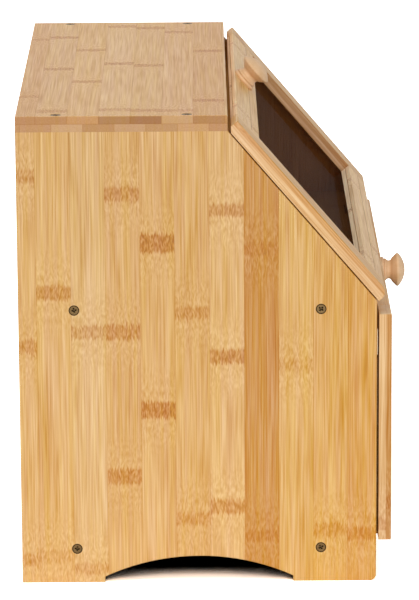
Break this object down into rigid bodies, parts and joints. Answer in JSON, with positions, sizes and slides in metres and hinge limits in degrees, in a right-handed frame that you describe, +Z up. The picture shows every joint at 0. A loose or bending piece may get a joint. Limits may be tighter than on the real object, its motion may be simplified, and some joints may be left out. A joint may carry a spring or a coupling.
{
  "type": "bread box with a drawer",
  "caption": "Bamboo bread box with a slanted fold-down door, glazed and hinged at its foot, above a full-width glazed drawer; screwed board case on arched sides.",
  "frame": {"origin": "on the floor, under the middle of the overall box, knobs included", "axes": "+X across the width (to the right seen from in front), -Y the front with the drawer, +Z up"},
  "size_m": [0.368, 0.2786, 0.3429],
  "materials": {
    "bamboo_board": "satin clear lacquer",
    "bamboo_frame": "satin clear lacquer",
    "plywood": "bare, sanded",
    "beech": "satin, turned",
    "clear_sheet": "clear, polished",
    "bronze": "dark antique, plated",
    "brass": "plain, tumbled"
  },
  "bodies": {
    "case": {"side_left": "bamboo_board", "side_right": "bamboo_board", "top_panel": "bamboo_board", "middle_shelf": "bamboo_board", "bottom_panel": "bamboo_board", "back_panel": "plywood", "drawer_guide_left": "bamboo_board", "drawer_guide_right": "bamboo_board", "side_screws": "bronze", "top_screws": "bronze", "back_screws": "bronze", "hinge_case_leaf_left": "brass", "hinge_case_leaf_right": "brass", "hinge_pin_left": "brass", "hinge_pin_right": "brass", "hinge_case_screws": "brass"},
    "door": {"door_stile_left": "bamboo_frame", "door_stile_right": "bamboo_frame", "door_top_rail": "bamboo_frame", "door_bottom_rail": "bamboo_frame", "door_pane": "clear_sheet", "door_knob": "beech", "door_knob_screw": "bronze", "hinge_door_leaf_left": "brass", "hinge_door_leaf_right": "brass", "hinge_door_screws": "brass"},
    "drawer": {"drawer_stile_left": "bamboo_frame", "drawer_stile_right": "bamboo_frame", "drawer_top_rail": "bamboo_frame", "drawer_bottom_rail": "bamboo_frame", "drawer_pane": "clear_sheet", "drawer_knob": "beech", "drawer_knob_screw": "bronze", "drawer_side_left": "bamboo_board", "drawer_side_right": "bamboo_board", "drawer_back": "bamboo_board", "drawer_bottom": "plywood", "drawer_screws": "bronze"}
  },
  "joints": [
    {"name": "door_hinge", "type": "hinge", "parent": "case", "child": "door", "pos_m": [0, -0.11149, 0.20361], "axis": [1, 0, 0], "range_deg": [0, 123]},
    {"name": "drawer_slide", "type": "slide", "parent": "case", "child": "drawer", "axis": [0, -1, 0], "range_m": [0, 0.185]}
  ]
}
